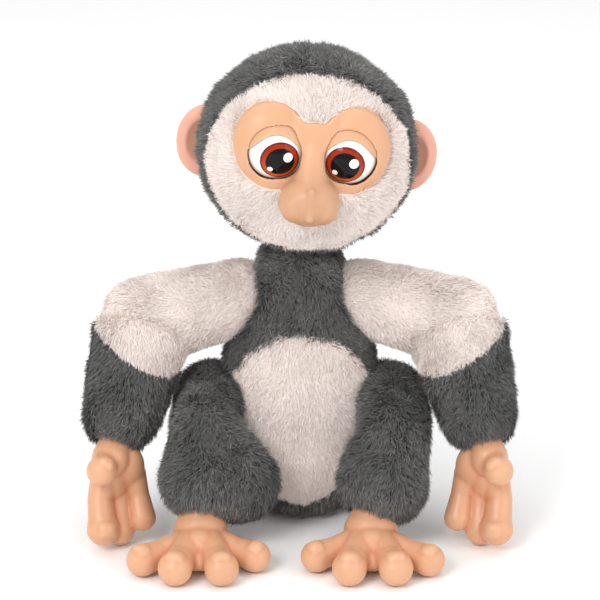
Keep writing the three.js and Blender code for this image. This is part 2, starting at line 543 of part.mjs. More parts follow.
// Fingers as [x, y, z, radius] from knuckle to tip, measured from the wrist, with +x towards the body.
const FINGERS = [
  [[-6, -5, -11, 7], [-11, -15, -13, 7]],
  [[-8, -3, -20, 8], [-11.5, -8, -29, 6.8], [-9, -10, -39, 8.3]],
  [[-1, 2, -24, 7.5], [-1.5, -4, -44, 7.4]],
  [[7, 2, -22, 7.5], [11, -3, -37, 6.8]],
];
function handShape(wrist, side, stem) {
  const spot = ([x, y, z]) => [wrist[0] - side * x, wrist[1] + y, wrist[2] + z];
  const palm = ellipsoid(spot([1, -2, -17]), [13.5, 9.5, 14], 10, 6);
  const fingers = FINGERS.flatMap((bones) => bones.slice(1).map((tip, index) =>
    limb(spot(bones[index]), spot(tip), bones[index][3], tip[3], 7)));
  return join(palm, stem, ...fingers);
}

// Toes as [x, y, z, radius] measured from the point under the ankle, with +x towards the body.
const TOES = [
  [[-10, -12, 9, 7.5], [-27.5, -25, 7.2, 7.2]],
  [[-5, -14, 10, 8], [-11, -36, 7.8, 7.8]],
  [[5, -14, 10, 8], [11, -36, 7.8, 7.8]],
  [[10, -10, 9, 7.5], [27, -21, 7, 7]],
];
function footShape(ankle, side, stem) {
  const spot = ([x, y, z]) => [ankle[0] - side * x, ankle[1] + y, z];
  const instep = limb(spot([0, -2, 11]), spot([0, -16, 10]), 10.5, 10, 12);
  const pad = ellipsoid(spot([0, -15, 7]), [23, 17, 7.5], 12, 6);
  const toes = TOES.flatMap((bones) => bones.slice(1).map((tip, index) =>
    limb(spot(bones[index]), spot(tip), bones[index][3], tip[3], 7)));
  const floor = box([-200, -200, -50], [200, 200, 0]);
  return cut(join(instep, pad, stem, ...toes), floor);
}

function buildLeg(name, side) {
  const [hip, knee, ankle] = [mirrored(LEG.hip, side), KNEE[name], ANKLE[name]];
  const line = unit(knee, ankle);
  const out = vector([side, 0, 0]);
  const disc = (grow) => join(
    rod(stepFrom(hip, out, -4 - grow), stepFrom(hip, out, -1 + grow), 12 + grow, 14),
    rod(stepFrom(hip, out, -60), hip, 3 + grow, 12),
  );
  const far = rod(ankle, stepFrom(ankle, line, 80), 80, 12);
  const thigh = limb(hip, knee, LEG.hipRadius, LEG.kneeRadius);
  const shin = limb(knee, ankle, LEG.kneeRadius, LEG.cuffRadius);
  const lobe = limb(...LOBE[name], LEG.lobeRadius, LEG.lobeRadius);
  const leg = cut(join(thigh, shin, lobe), far, disc(GAP), socket(ankle, line, FOOT, GAP));
  place(`leg_plush_${name}`, leg, "greyPlush");
  place(`hip_disc_${name}`, common(disc(0), ball(hip, LEG.hipRadius - GAP)), "shell");
  place(`ankle_ring_${name}`, ringOn(ankle, line, FOOT), "dark");
  place(`foot_${name}`, footShape(ankle, side, stemOf(ankle, line, FOOT, 6)), "vinyl");
}

buildTorso();
buildElectronics();
buildNeck();
buildHeadCovers();
buildSkull();
buildEyes();
for (const [name, side] of Object.entries(SIDES)) {
  buildArm(name, side);
  buildLeg(name, side);
}

export default toy;
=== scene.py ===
# %% [markdown]
# # A seated plush monkey
# The toy is a stuffed body in grey and white fur with a vinyl face, ears, hands and feet.
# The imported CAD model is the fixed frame. Every new piece is built around it in metres and rides
# on one of its bodies, so the head turns, the lids blink and the limbs swing with their fur on.
# %% Load the frame
import json
import math

import bmesh
import bpy
import numpy as np
from mathutils import Matrix, Vector


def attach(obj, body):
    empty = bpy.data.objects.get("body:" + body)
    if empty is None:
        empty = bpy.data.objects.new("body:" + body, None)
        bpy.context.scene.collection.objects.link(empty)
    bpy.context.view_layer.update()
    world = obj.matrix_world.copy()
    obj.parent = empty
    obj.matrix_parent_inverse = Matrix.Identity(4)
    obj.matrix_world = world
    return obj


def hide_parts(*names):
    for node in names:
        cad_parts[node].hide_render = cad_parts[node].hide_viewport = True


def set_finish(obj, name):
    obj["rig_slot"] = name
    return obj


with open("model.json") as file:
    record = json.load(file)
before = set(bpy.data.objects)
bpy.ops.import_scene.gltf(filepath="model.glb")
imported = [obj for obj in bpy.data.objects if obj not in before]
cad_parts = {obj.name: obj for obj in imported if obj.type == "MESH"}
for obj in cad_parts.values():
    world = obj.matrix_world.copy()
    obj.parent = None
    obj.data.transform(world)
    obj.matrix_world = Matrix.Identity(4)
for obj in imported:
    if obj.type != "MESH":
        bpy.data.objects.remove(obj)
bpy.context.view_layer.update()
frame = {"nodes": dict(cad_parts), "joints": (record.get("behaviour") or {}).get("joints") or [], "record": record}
scene = bpy.context.scene
MM = 0.001
SIDES = {"right": -1, "left": 1}  # the toy's own right is on the -X side
joints = {joint["name"]: joint for joint in frame["joints"]}

# %% [markdown]
# ## Camera, light and floor
# A long lens from a little above keeps the toy's proportions, as a catalogue camera does.
# Large soft lights from three sides and a pale floor leave almost no shadow.
# %% Camera
AIM = Vector((0.0, -0.02, 0.1165))
CAMERA_DISTANCE = 1.2
CAMERA_ELEVATION = math.radians(19)
camera = bpy.data.objects.new("camera", bpy.data.cameras.new("camera"))
scene.collection.objects.link(camera)
towards = Vector((0, -math.cos(CAMERA_ELEVATION), math.sin(CAMERA_ELEVATION)))
camera.location = AIM + towards * CAMERA_DISTANCE
camera.rotation_euler = (-towards).to_track_quat("-Z", "Y").to_euler()
camera.data.lens = 144
scene.camera = camera
print("camera at", camera.location[:])


# %% Lights
def softbox(name, place, size, power):
    light = bpy.data.lights.new(name, "AREA")
    light.size = size
    light.energy = power
    lamp = bpy.data.objects.new(name, light)
    scene.collection.objects.link(lamp)
    lamp.location = place
    lamp.rotation_euler = (AIM - lamp.location).to_track_quat("-Z", "Y").to_euler()


softbox("key", Vector((-0.7, -1.2, 1.1)), 0.6, 12)
softbox("fill", Vector((1.2, -0.9, 0.7)), 1.0, 5)
softbox("overhead", Vector((0.0, 0.3, 1.5)), 1.2, 6)
world = bpy.data.worlds.new("studio")
scene.world = world
world.use_nodes = True
world.node_tree.nodes["Background"].inputs["Color"].default_value = (1, 1, 1, 1)
world.node_tree.nodes["Background"].inputs["Strength"].default_value = 0.8
scene.view_settings.view_transform = "Standard"

# %% [markdown]
# ## Shader sums in plain Python
# Node trees are quicker to read as sums. `Wire` holds one socket: adding or multiplying wires adds
# the Math nodes, and `node` makes any other node.
# %% Wire


class Wire:
    def __init__(self, tree, socket=None):
        self.tree = tree
        self.socket = socket

    def node(self, kind, inputs, settings=None, output=0):
        made = self.tree.nodes.new("ShaderNode" + kind)
        for key, value in (settings or {}).items():
            setattr(made, key, value)
        for key, value in inputs.items():
            self.plug(made.inputs[key], value)
        return Wire(self.tree, made.outputs[output])

    def plug(self, socket, value):
        if isinstance(value, Wire):
            self.tree.links.new(value.socket, socket)
        else:
            socket.default_value = value

    def sum(self, operation, a, b):
        return self.node("Math", {0: a, 1: b}, {"operation": operation})

    def __add__(self, other):
        return self.sum("ADD", self, other)

    def __radd__(self, other):
        return self.sum("ADD", other, self)

    def __sub__(self, other):
        return self.sum("SUBTRACT", self, other)

    def __rsub__(self, other):
        return self.sum("SUBTRACT", other, self)

    def __mul__(self, other):
        return self.sum("MULTIPLY", self, other)

    def __rmul__(self, other):
        return self.sum("MULTIPLY", other, self)

    def above(self, edge, soft):
        inputs = {"Value": self, "From Min": edge - soft, "From Max": edge + soft}
        return self.node("MapRange", inputs, {"interpolation_type": "SMOOTHSTEP"})

    def between(self, low, high):
        """The colour low where this wire is 0 and high where it is 1."""
        return self.node("Mix", {0: self, 6: low, 7: high}, {"data_type": "RGBA"}, 2)


# %% Materials
def tint(red, green, blue):
    """A colour from 0-255 screen values."""
    linear = [c / 12.92 if c < 0.04045 else ((c + 0.055) / 1.055) ** 2.4
              for c in (red / 255, green / 255, blue / 255)]
    return (*linear, 1)


def finish(name, roughness, **constants):
    """A new material, its shader and a wire to start sums from."""
    material = bpy.data.materials.new(name)
    material.use_nodes = True
    tree = material.node_tree
    shader = tree.nodes["Principled BSDF"]
    shader.inputs["Roughness"].default_value = roughness
    for key, value in constants.items():
        shader.inputs[key.replace("_", " ")].default_value = value
    return material, shader, Wire(tree)


def object_noise(wire, scale, detail=3.0):
    place = wire.node("TexCoord", {}, output=3)
    return wire.node("TexNoise", {"Vector": place, "Scale": scale, "Detail": detail})


def grain(wire, shader, scale, height):
    """A fine bump."""
    bump = wire.node("Bump", {"Height": object_noise(wire, scale), "Distance": height, "Strength": 0.6})
    wire.plug(shader.inputs["Normal"], bump)


def mottled(name, dark, light, roughness, scale, bump_scale, bump_height, **constants):
    """Two close colours in soft patches, with a grain."""
    material, shader, wire = finish(name, roughness, **constants)
    patches = object_noise(wire, scale)
    wire.plug(shader.inputs["Base Color"], patches.between(tint(*dark), tint(*light)))
    grain(wire, shader, bump_scale, bump_height)
    return material


def pile_finish(name, root, middle, tip, pale, pale_share, scattered):
    """Fur: along each strand from root to tip, with some strands ending pale. The darker root colour is
    painted shade deep in the pile. A little glow is painted light: it stands in for the light that pale fibres
    pass on to each other."""
    material, shader, wire = finish(name, 0.75)
    shader.inputs["Sheen Weight"].default_value = 0.15
    shader.inputs["Specular IOR Level"].default_value = 0.25
    shader.inputs["Emission Color"].default_value = tint(*middle)
    shader.inputs["Emission Strength"].default_value = scattered
    place = wire.node("UVMap", {}, {"uv_map": "OFBake"})
    strand = wire.node("SeparateXYZ", {0: place}, output=0)
    along = wire.node("SeparateXYZ", {0: place}, output=1)
    lower = (along * 2.0).between(tint(*root), tint(*middle))
    ends = strand.above(1 - pale_share, 0.12).between(tint(*tip), tint(*pale))
    upper = (along * 2.0 - 1.0).between(lower, ends)
    shade = strand.node("MapRange", {"Value": strand, "To Min": 0.82, "To Max": 1.08})
    dimmed = wire.node("VectorMath", {0: upper, "Scale": shade}, {"operation": "SCALE"})
    wire.plug(shader.inputs["Base Color"], dimmed)
    return material


# Painted shade: each fur's root colour is darker than its middle, for the shade deep in the pile.
grey_pile = pile_finish("grey_pile", (52, 52, 54), (98, 98, 98), (128, 127, 124), (176, 173, 164), 0.22, 0)
white_pile = pile_finish(
    "white_pile", (228, 214, 207), (242, 231, 225), (247, 238, 233), (251, 245, 242), 0.4, 0.06
)
# The grey backing is darker than the fibres' middle: partly its own colour, partly painted shade for the gaps
# between strands.
grey_knit = mottled("grey_knit", (56, 56, 57), (84, 83, 82), 0.95, 160, 900, 0.0004)
white_knit = mottled("white_knit", (236, 224, 217), (246, 236, 230), 0.95, 160, 900, 0.0004)
print("pile and backing materials ready")

# %% [markdown]
# ## The frame of each body
# The head is tilted a little to one side, so its pieces are made in its own axes and carried over by
# one matrix. The axes come from the neck's joints, and the limbs' ends from theirs.
# %% Joints and limb lines
turn_axis = Vector(joints["neck_turn"]["axis"])
nod_axis = Vector(joints["neck_nod"]["axis"])
NECK = Matrix.Translation(joints["neck_nod"]["pos_m"]) @ Matrix(
    (nod_axis, turn_axis.cross(nod_axis), turn_axis)
).transposed().to_4x4()
HEAD = NECK @ Matrix.Translation(Vector((0, -1, 43)) * MM)
KNEE = {"right": Vector((-47, -47, 57)) * MM, "left": Vector((48, -47, 57)) * MM}
LOBE = {"right": (-30, -60, 28), "left": (42, -62, 28)}
INSET = 2.6  # mm that a backing lies inside the fur's outline


def pivot(name):
    return Vector(joints[name]["pos_m"])


# Each limb line: start, end, radius at the start, radius at the end.
LIMBS = {}
for side in SIDES:
    shoulder, elbow = pivot("shoulder_" + side), pivot("elbow_" + side)
    wrist, hip, ankle = pivot("wrist_" + side), pivot("hip_" + side), pivot("ankle_" + side)
    inward = Vector((-SIDES[side] * MM, 0, 0))
    LIMBS["upper_arm_" + side] = (shoulder + inward * 8, elbow, 20.5, 24)
    LIMBS["forearm_" + side] = (elbow, wrist + inward * 3, 25.8, 19)
    LIMBS["thigh_" + side] = (hip, KNEE[side], 20, 18)
    LIMBS["shin_" + side] = (KNEE[side], ankle, 18, 21)
    LIMBS["lobe_" + side] = (KNEE[side], Vector(LOBE[side]) * MM, 18, 20.5)
print({name: (line[1] - line[0]).length / MM for name, line in LIMBS.items()})


# %% Measures that work on whole arrays of points
def in_axes(points, matrix):
    """Points in mm along the axes of a matrix."""
    flat = np.array(matrix.inverted())
    return (points @ flat[:3, :3].T + flat[:3, 3]) / MM


def beyond_seam(points, side):
    """Which points are on the grey side of the slanted seam near the elbow."""
    middle = np.array(LIMBS["forearm_" + side][0]) - (0, 0, 12.5 * MM)
    return (points - middle) @ np.array((0.5 * SIDES[side], 0, -0.87)) > 0


def limb_depth(points, limb, grow=0.0):
    """How many mm the points are outside a tapered limb; negative is inside."""
    start, end = np.array(limb[0]), np.array(limb[1])
    line = end - start
    share = np.clip((points - start) @ line / (line @ line), 0, 1)
    centre = start + share[:, None] * line
    return np.linalg.norm(points - centre, axis=1) / MM - (limb[2] + (limb[3] - limb[2]) * share) - grow


PEAR = np.array([  # height and radius in mm
    [0, 20], [5, 33], [18, 39], [38, 41], [60, 41.5],
    [80, 40], [97, 36.5], [113, 31], [127, 25], [139, 20],
])
SQUEEZE = 0.94


def pear_depth(points):
    """How many mm the points are outside the torso."""
    out = np.hypot(points[:, 0], points[:, 1] / SQUEEZE) / MM
    return out - np.interp(points[:, 2] / MM, PEAR[:, 0], PEAR[:, 1], left=0, right=0)


def mask_depth(points):
    """How many mm the points are outside the face mask's outline, seen from the front."""
    x, _, z = in_axes(points, HEAD).T
    lobes = (np.hypot((np.abs(x) - 19.4) / 18.9, (z - 7.5) / 21) - 1) * 20
    between = (np.hypot(x / 14.2, (z - 8.5) / 12.8) - 1) * 13.5
    nose = (np.hypot(x / 15, (z + 14.5) / 12.5) - 1) * 13.5
    return np.minimum(np.minimum(lobes, between), nose)


def in_ruff(points, margin=0.0):
    x, y, z = in_axes(points, HEAD).T
    return (np.hypot(x / (47.5 + margin), (z + 4.3) / (42.4 + margin)) < 1) & (y < -2)


def in_belly(points, margin=0.0):
    x, y, z = points.T / MM
    return (np.hypot(x / (35 + margin), (z - 57) / (43 + margin)) < 1) & (y < 0)


def in_flap(points, margin=0.0):
    x, y, z = points.T / MM
    return (np.abs(x) < 25 + margin) & (np.abs(z - 70) < 34 + margin) & (y > 0)


def ripple(points, size, seed):
    """Smooth noise, about -1 to 1, from a few waves in chance directions."""
    chance = np.random.default_rng(seed)
    total = np.zeros(len(points))
    for _ in range(7):
        wave = chance.normal(size=3) * 2.2 / size
        total += np.sin(points @ wave + chance.uniform(0, 6.3))
    return total / 2.6


# %% [markdown]
# ## Shapes that are grown together
# Soft limbs, hands and feet are blends of round shapes. Spheres and cones are placed with bmesh, a
# voxel remesh melts them into one closed skin, and a smoothing pass rounds the joins, which keeps
# every blend watertight where hand-made loops would take far longer.
# %% Shape helpers
def sphere(bm, centre, radii, turn=None):
    place = Matrix.Translation(centre) @ (turn or Matrix()) @ Matrix.Diagonal((*radii, 1))
    bmesh.ops.create_uvsphere(bm, u_segments=40, v_segments=24, radius=1, matrix=place)


def tapered(bm, start, end, first, last):
    """A round-ended limb; the radii are in metres."""
    sphere(bm, start, (first,) * 3)
    sphere(bm, end, (last,) * 3)
    line = end - start
    place = Matrix.Translation((start + end) / 2) @ line.to_track_quat("Z", "Y").to_matrix().to_4x4()
    bmesh.ops.create_cone(
        bm, cap_ends=True, segments=40, radius1=first, radius2=last, depth=line.length, matrix=place
    )


def piece(bm, name, material=None):
    mesh = bpy.data.meshes.new(name)
    bm.to_mesh(mesh)
    bm.free()
    made = bpy.data.objects.new(name, mesh)
    scene.collection.objects.link(made)
    if material:
        mesh.materials.append(material)
    return made


def settle(made):
    """Applies a piece's modifiers."""
    graph = bpy.context.evaluated_depsgraph_get()
    mesh = bpy.data.meshes.new_from_object(made.evaluated_get(graph))
    mesh.name = made.name
    made.modifiers.clear()
    made.data = mesh
    mesh.shade_smooth()
    return made


def melt(made, voxel, smoothing, carvings=()):
    """Voxel remesh, then carve, remesh again and smooth."""
    made.modifiers.new("voxels", "REMESH").voxel_size = voxel
    if carvings:
        for carving in carvings:
            cut = made.modifiers.new("cut", "BOOLEAN")
            cut.operation = "DIFFERENCE"
            cut.solver = "MANIFOLD"
            cut.object = carving
        made.modifiers.new("voxels_again", "REMESH").voxel_size = voxel
    if smoothing:
        rounded = made.modifiers.new("rounded", "SMOOTH")
        rounded.factor = 0.5
        rounded.iterations = smoothing
    settle(made)
    for carving in carvings:
        bpy.data.objects.remove(carving)
    return made


def coordinates(mesh):
    flat = np.empty(len(mesh.vertices) * 3, np.float32)
    mesh.vertices.foreach_get("co", flat)
    return flat.reshape(-1, 3).astype(float)


def move_to(mesh, points):
    mesh.vertices.foreach_set("co", points.astype(np.float32).ravel())
    mesh.update()


def vertex_normals(mesh):
    flat = np.empty(len(mesh.vertices) * 3, np.float32)
    mesh.vertices.foreach_get("normal", flat)
    return flat.reshape(-1, 3).astype(float)


def relax(made, times):
    rounded = made.modifiers.new("rounded", "SMOOTH")
    rounded.iterations = times
    return settle(made)


# %% [markdown]
# ## Stuffed skins
# Each stuffed part is a closed backing skin, melted together from round-ended forms, and its crowned
# shape comes from those forms. The soft valleys are pulled in along the seams afterwards. Cloth pressure
# is run in between, but with these settings no point moved as much as 0.2 mm when it was measured, so it
# adds nothing that can be seen. Why it moves so little has not been found out.
# %% Skin base shapes
SKIN_VOXEL = 4 * MM


def limb_skin(name, *lines):
    bm = bmesh.new()
    for start, end, first, last in lines:
        tapered(bm, start, end, (first - INSET) * MM, (last - INSET) * MM)
    return melt(piece(bm, name), SKIN_VOXEL, 2)


def torso_form():
    bm = bmesh.new()
    rows = [bm.verts.new((0, 0, PEAR[0, 0] * MM + INSET * MM))]
    rows += [bm.verts.new(((r - INSET) * MM, 0, (z + INSET * (z == 0)) * MM)) for z, r in PEAR]
    rows.append(bm.verts.new((0, 0, (PEAR[-1, 0] + 2) * MM)))
    edges = [bm.edges.new(pair) for pair in zip(rows, rows[1:])]
    about_z = {"cent": (0, 0, 0), "axis": (0, 0, 1), "angle": math.tau}
    bmesh.ops.spin(bm, geom=rows + edges, steps=48, use_merge=True, **about_z)
    bmesh.ops.remove_doubles(bm, verts=bm.verts, dist=1e-5)
    bmesh.ops.scale(bm, verts=bm.verts, vec=(1, SQUEEZE, 1))
    bmesh.ops.recalc_face_normals(bm, faces=bm.faces)
    return melt(piece(bm, "torso_skin"), SKIN_VOXEL, 2)


def head_form():
    bm = bmesh.new()
    radii = [r * MM for r in (52.4, 45.2, 49.6)]
    sphere(bm, HEAD @ Vector((0, 0, -2.2 * MM)), radii, HEAD.to_3x3().to_4x4())
    return melt(piece(bm, "head_skin"), SKIN_VOXEL, 1)


skins = {"torso": torso_form(), "head": head_form()}
for side in SIDES:
    elbow, wrist, first, last = LIMBS["forearm_" + side]
    down = (wrist - elbow).normalized()
    below = elbow + down * 9 * MM
    cuff_end = wrist - down * (last - INSET - 2) * MM
    skins["upper_arm_" + side] = limb_skin("upper_arm_skin_" + side, LIMBS["upper_arm_" + side])
    skins["forearm_" + side] = limb_skin("forearm_skin_" + side, (below, cuff_end, first, last + 1.5))
    knee, ankle, first, last = LIMBS["shin_" + side]
    down = (ankle - knee).normalized()
    above = ankle - down * (last - INSET - 4) * MM
    lobe = LIMBS["lobe_" + side]
    lobe = (lobe[0], lobe[1] - down * 6 * MM, *lobe[2:])
    shin = (knee, above, first, last + 1.5)
    skins["leg_" + side] = limb_skin("leg_skin_" + side, LIMBS["thigh_" + side], shin, lobe)
print({name: len(skin.data.vertices) for name, skin in skins.items()})


# %% Stuffing
SWELL = 1.4 * MM  # the furthest that pressure may move a point
FRAMES = 20
PRESSURE = 4
HELD_SEAM = 2.5  # mm to each side of a seam that pressure leaves in place


def seam_distance(name, points):
    """How many mm each point is from a seam of its panel."""
    if name == "head":
        return np.abs(in_axes(points, HEAD)[:, 0])
    if name == "torso":
        return np.abs(np.hypot(points[:, 1] / MM, 0))
    side = name.split("_")[-1]
    start, end = [np.array(p) for p in LIMBS[name.replace("leg", "thigh")][:2]]
    line = (end - start) / np.linalg.norm(end - start)
    across = np.cross(line, (0, 0, 1) if "arm" in name else (1, 0, 0))
    away = np.abs((points - start) @ (across / np.linalg.norm(across))) / MM
    inner = (points - start) @ np.array((-SIDES[side], 0, 0)) / MM
    return np.where(inner > 0, away, 99)


for name, skin in skins.items():
    held = skin.vertex_groups.new(name="seam")
    near = seam_distance(name, coordinates(skin.data)) < HELD_SEAM
    held.add([int(index) for index in np.flatnonzero(near)], 1, "REPLACE")
    cloth = skin.modifiers.new("stuffing", "CLOTH")
    cloth.settings.use_pressure = True
    cloth.settings.uniform_pressure_force = PRESSURE
    cloth.settings.effector_weights.gravity = 0
    cloth.settings.vertex_group_mass = "seam"
    cloth.point_cache.frame_end = FRAMES
for number in range(1, FRAMES + 1):
    scene.frame_set(number)
graph = bpy.context.evaluated_depsgraph_get()
for name, skin in skins.items():
    before = coordinates(skin.data)
    step = coordinates(skin.evaluated_get(graph).data) - before
    length = np.linalg.norm(step, axis=1)
    skin.modifiers.clear()
    move_to(skin.data, before + step * np.minimum(1, SWELL / np.maximum(length, 1e-9))[:, None])
    print(name, "swelled by", round(float(np.median(length)) / MM, 4), "mm before the cap")
scene.frame_set(1)

# %% Seams, crowns and the hollows between neighbours
THIGH_SWINGS = [math.radians(angle) for angle in (-14, -3, 8)]


def swung(limb, angle):
    turn = Matrix.Translation(limb[0]) @ Matrix.Rotation(angle, 4, "X") @ Matrix.Translation(-limb[0])
    return (turn @ limb[0], turn @ limb[1], limb[2], limb[3])


def press(skin, limbs, centre, grow):
    """Pushes a skin towards its own middle until it is clear of its neighbours."""
    points = coordinates(skin.data)
    for _ in range(40):
        inside = np.zeros(len(points), bool)
        for limb in limbs:
            inside |= limb_depth(points, limb, grow) < 0
        if not inside.any():
            break
        inward = centre(points[inside]) - points[inside]
        points[inside] += inward / np.maximum(np.linalg.norm(inward, axis=1), 1e-9)[:, None] * 0.8 * MM
    move_to(skin.data, points)


for name, skin in skins.items():
    finer = skin.modifiers.new("finer", "SUBSURF")
    finer.levels = finer.render_levels = 1
    settle(skin)
    points = coordinates(skin.data)
    valley = np.exp(-((seam_distance(name, points) / 2.2) ** 2)) * 1.2 * MM
    move_to(skin.data, points - vertex_normals(skin.data) * valley[:, None])

neighbours = [LIMBS["upper_arm_" + side] for side in SIDES]
neighbours += [swung(LIMBS["thigh_" + side], angle) for side in SIDES for angle in THIGH_SWINGS]
press(skins["torso"], neighbours, lambda p: np.column_stack([p[:, 0] * 0, p[:, 1] * 0, p[:, 2]]), 1 - INSET)
relax(skins["torso"], 2)
for side in SIDES:
    elbow, wrist, _, _ = LIMBS["forearm_" + side]
    far = np.array(wrist + (wrist - elbow) * 2)
    elbow_ball = (elbow, elbow + Vector((0, 0, MM)), 24 - INSET, 24 - INSET)
    press(skins["forearm_" + side], [elbow_ball], lambda p: far + p * 0, 1.5)
print("skins", sum(len(skin.data.vertices) for skin in skins.values()), "points")

# %% [markdown]
# ## Panels: ruff, belly and back flap
# The pale ruff and belly and the flap behind are separate panels sewn into the grey fur. Each is
# cut from the skin it lies in, given a thickness inwards, and the skin beneath is lowered to seat it.
# %% Cut the panels
PANEL_THICK = 3 * MM


def panel(skin, name, inside):
    bm = bmesh.new()
    bm.from_mesh(skin.data)
    centres = np.array([face.calc_center_median() for face in bm.faces])
    keep = inside(centres)
    bm.faces.ensure_lookup_table()
    bmesh.ops.delete(bm, geom=[bm.faces[int(i)] for i in np.flatnonzero(~keep)], context="FACES")
    made = piece(bm, name)
    thick = made.modifiers.new("thickness", "SOLIDIFY")
    thick.thickness = PANEL_THICK
    thick.offset = -1
    return settle(made)


def combine(made, other, operation):
    """Cuts one closed piece with another."""
    shared = made.modifiers.new("shared", "BOOLEAN")
    shared.operation = operation
    shared.solver = "MANIFOLD"
    shared.object = other
    settle(made)
    bpy.data.objects.remove(other)
    return made


def lower(skin, inside, depth):
    points = coordinates(skin.data)
    move_to(skin.data, points - vertex_normals(skin.data) * (inside(points) * depth)[:, None])


skins["ruff"] = panel(skins["head"], "ruff_skin", lambda p: in_ruff(p, 1) & (mask_depth(p) > -2))
skins["belly"] = panel(skins["torso"], "belly_skin", lambda p: in_belly(p, 1))
skins["flap"] = panel(skins["torso"], "back_flap_skin", lambda p: in_flap(p, 0))
lower(skins["head"], lambda p: in_ruff(p, 2), PANEL_THICK + 0.6 * MM)
lower(skins["torso"], lambda p: in_belly(p, 2), PANEL_THICK + 0.6 * MM)
lower(skins["torso"], lambda p: in_flap(p, 2), PANEL_THICK + 0.9 * MM)
bm = bmesh.new()
access = Matrix.Translation((0, 35 * MM, 70 * MM)) @ Matrix.Diagonal((40.8 * MM, 50 * MM, 62.8 * MM, 1))
bmesh.ops.create_cube(bm, size=1, matrix=access)
combine(skins["torso"], piece(bm, "access_room"), "DIFFERENCE")
points = coordinates(skins["head"].data)
hollow = in_axes(points, HEAD)
under_mask = (mask_depth(points) < -1) & (hollow[:, 1] < -14)
hollow[under_mask, 1] = -14
there = np.array(HEAD)
move_to(skins["head"].data, (hollow * MM) @ there[:3, :3].T + there[:3, 3])

BODY = {"ruff": "head", "belly": "torso"}
CAD_NODE = {
    "torso": "torso_plush", "head": "head_plush",
    "ruff": "face_ruff", "belly": "belly_panel", "flap": "back_flap",
}
for name, skin in skins.items():
    white = name.startswith("upper_arm") or name in ("ruff", "belly")
    skin.data.materials.clear()
    skin.data.materials.append(white_knit if white else grey_knit)
    if "arm_" in name:
        skin.data.materials.append(grey_knit if white else white_knit)
        centres = np.empty(len(skin.data.polygons) * 3)
        skin.data.polygons.foreach_get("center", centres)
        grey = beyond_seam(centres.reshape(-1, 3), name.rpartition("_")[2])
        skin.data.polygons.foreach_set("material_index", (grey == white).astype(np.int32))
    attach(skin, BODY.get(name, name))
    part, _, side = name.rpartition("_")
    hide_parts(CAD_NODE.get(name, f"{part}_plush_{side}"))
    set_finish(skin, "white_plush" if white else "grey_plush")
print("panels", [name for name in ("ruff", "belly", "flap")])

# %% [markdown]
# ## Fur
# Real pile is thousands of fine fibres that lean one way and gather in small tufts. Each strand here
# is a thin pointed ribbon of two faces that leans along the nap, so the light catches the
# flat of it. The strands are far too many for an operator each, so their corners are worked out as
# arrays. Their texture map says which strand it is and how far along, and the fur's colour reads that.
# %% Grow the strands
NAP_DENSITY = 3.6e6  # strands per square metre
TUFT = 3.2 * MM


def unit(vectors):
    return vectors / np.maximum(np.linalg.norm(vectors, axis=1), 1e-9)[:, None]


def scatter(skin, density, chance):
    mesh = skin.data
    mesh.calc_loop_triangles()
    corners = np.empty(len(mesh.loop_triangles) * 3, np.int32)
    mesh.loop_triangles.foreach_get("vertices", corners)
    corners = corners.reshape(-1, 3)
    place, normal = coordinates(mesh), vertex_normals(mesh)
    a, b, c = (place[corners[:, k]] for k in range(3))
    area = np.linalg.norm(np.cross(b - a, c - a), axis=1) / 2
    count = int(area.sum() * density)
    which = np.searchsorted(np.cumsum(area), chance.random(count) * area.sum()).clip(0, len(area) - 1)
    u, v = chance.random((2, count))
    fold = u + v > 1
    u, v = np.where(fold, 1 - u, u), np.where(fold, 1 - v, v)
    weights = np.stack([1 - u - v, u, v], axis=1)
    root = sum(place[corners[which, k]] * weights[:, k, None] for k in range(3))
    up = unit(sum(normal[corners[which, k]] * weights[:, k, None] for k in range(3)))
    return root, up


def tuft_middles(root):
    cell = np.floor(root / TUFT)
    code = cell @ np.array([12.9898, 78.233, 37.719])
    jitter = np.stack([np.sin(code + k) * 43758.5453 % 1 for k in (0.0, 1.3, 2.9)], axis=1)
    return (cell + jitter) * TUFT


